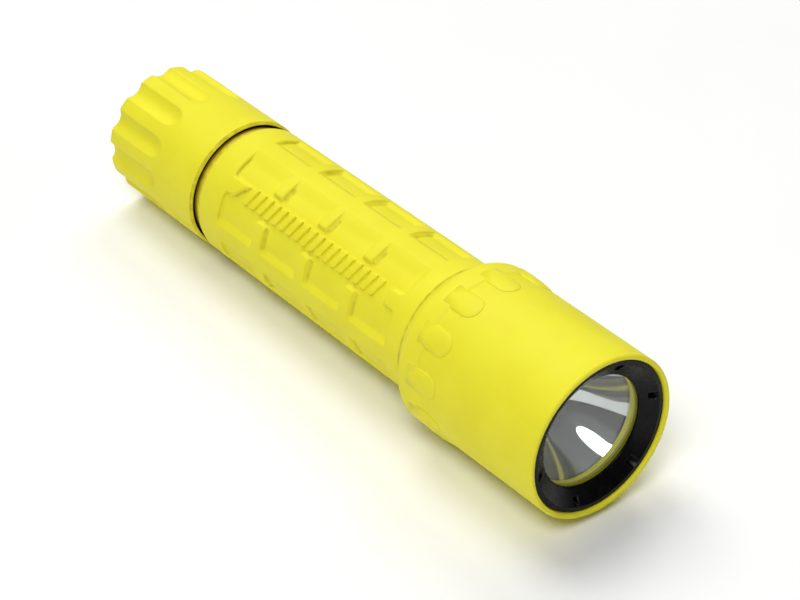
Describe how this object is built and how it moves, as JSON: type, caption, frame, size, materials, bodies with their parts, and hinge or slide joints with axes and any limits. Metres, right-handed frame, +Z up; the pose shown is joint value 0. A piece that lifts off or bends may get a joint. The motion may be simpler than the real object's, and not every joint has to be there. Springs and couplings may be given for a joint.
{
  "type": "firefighter flashlight",
  "caption": "Pocket torch with a ribbed polymer body, a drop-in lamp module, a screw-on head with grip lugs and a twist cap with a push button.",
  "frame": {"origin": "under the middle of the torch, on the surface it lies on", "axes": "+X along the beam, +Z up, the torch lying on its side"},
  "size_m": [0.132, 0.033, 0.033],
  "materials": {
    "yellow_polymer": "matte, fine moulded grain",
    "black_plastic": "satin",
    "seal_rubber": "greased, satin",
    "button_rubber": "matte",
    "lens_glass": "polished",
    "bulb_glass": "polished",
    "bulb_ceramic": "matte ceramic",
    "reflector_mirror": "polished",
    "sleeve_aluminium": "turned",
    "contact_brass": "turned",
    "nickel_steel": "nickel plated",
    "spring_steel": "drawn wire",
    "cell_sleeve": "shrink sleeve",
    "white_nylon": "natural nylon"
  },
  "bodies": {
    "body": {"barrel_shell": "yellow_polymer", "contact_sleeve": "sleeve_aluminium", "front_contact_ring": "contact_brass", "head_seal_ring": "seal_rubber", "tail_seal_ring": "seal_rubber", "front_cell_can": "nickel_steel", "front_cell_wrap": "cell_sleeve", "front_cell_seal": "black_plastic", "front_cell_terminal": "nickel_steel", "rear_cell_can": "nickel_steel", "rear_cell_wrap": "cell_sleeve", "rear_cell_seal": "black_plastic", "rear_cell_terminal": "nickel_steel"},
    "lamp_module": {"reflector": "reflector_mirror", "bulb_envelope": "bulb_glass", "bulb_base": "bulb_ceramic", "filament": "nickel_steel", "lamp_housing": "contact_brass", "lamp_insulator": "white_nylon", "lamp_contact": "contact_brass", "lamp_outer_spring": "spring_steel", "lamp_centre_spring": "spring_steel"},
    "head": {"bezel_shell": "yellow_polymer", "retaining_ring": "black_plastic", "lens": "lens_glass", "lens_gasket": "seal_rubber"},
    "switch_carrier": {"switch_bush": "white_nylon"},
    "tail_cap": {"tail_cap_shell": "yellow_polymer", "boot_clamp_ring": "white_nylon"},
    "button": {"button_boot": "button_rubber", "plunger": "black_plastic"},
    "switch_disc": {"contact_disc": "contact_brass", "tail_spring": "spring_steel"}
  },
  "joints": [
    {"name": "head_travel", "type": "slide", "parent": "body", "child": "lamp_module", "axis": [1, 0, 0], "range_m": [0, 0.0045], "deforming": ["lamp_outer_spring", "lamp_centre_spring"]},
    {"name": "head_twist", "type": "hinge", "parent": "lamp_module", "child": "head", "pos_m": [0.036, 0, 0.0165], "axis": [1, 0, 0], "range_deg": [0, 1080]},
    {"name": "tail_travel", "type": "slide", "parent": "body", "child": "switch_carrier", "axis": [-1, 0, 0], "range_m": [-0.00075, 0.00225]},
    {"name": "tail_twist", "type": "hinge", "parent": "switch_carrier", "child": "tail_cap", "pos_m": [-0.045, 0, 0.0165], "axis": [-1, 0, 0], "range_deg": [-180, 540]},
    {"name": "button_press", "type": "slide", "parent": "tail_cap", "child": "button", "axis": [1, 0, 0], "range_m": [0, 0.0015], "stiffness_N_per_m": 1500, "springref_m": -0.0015, "deforming": ["button_boot"]},
    {"name": "disc_travel", "type": "slide", "parent": "switch_carrier", "child": "switch_disc", "axis": [1, 0, 0], "range_m": [0, 0.0015], "deforming": ["tail_spring"]}
  ],
  "couplings": [
    {"joint": "head_twist", "follows": "head_travel", "rad_per_m": 4188.8},
    {"joint": "tail_twist", "follows": "tail_travel", "rad_per_m": 4188.8},
    {"joint": "disc_travel", "follows": "button_press", "ratio": 1}
  ]
}
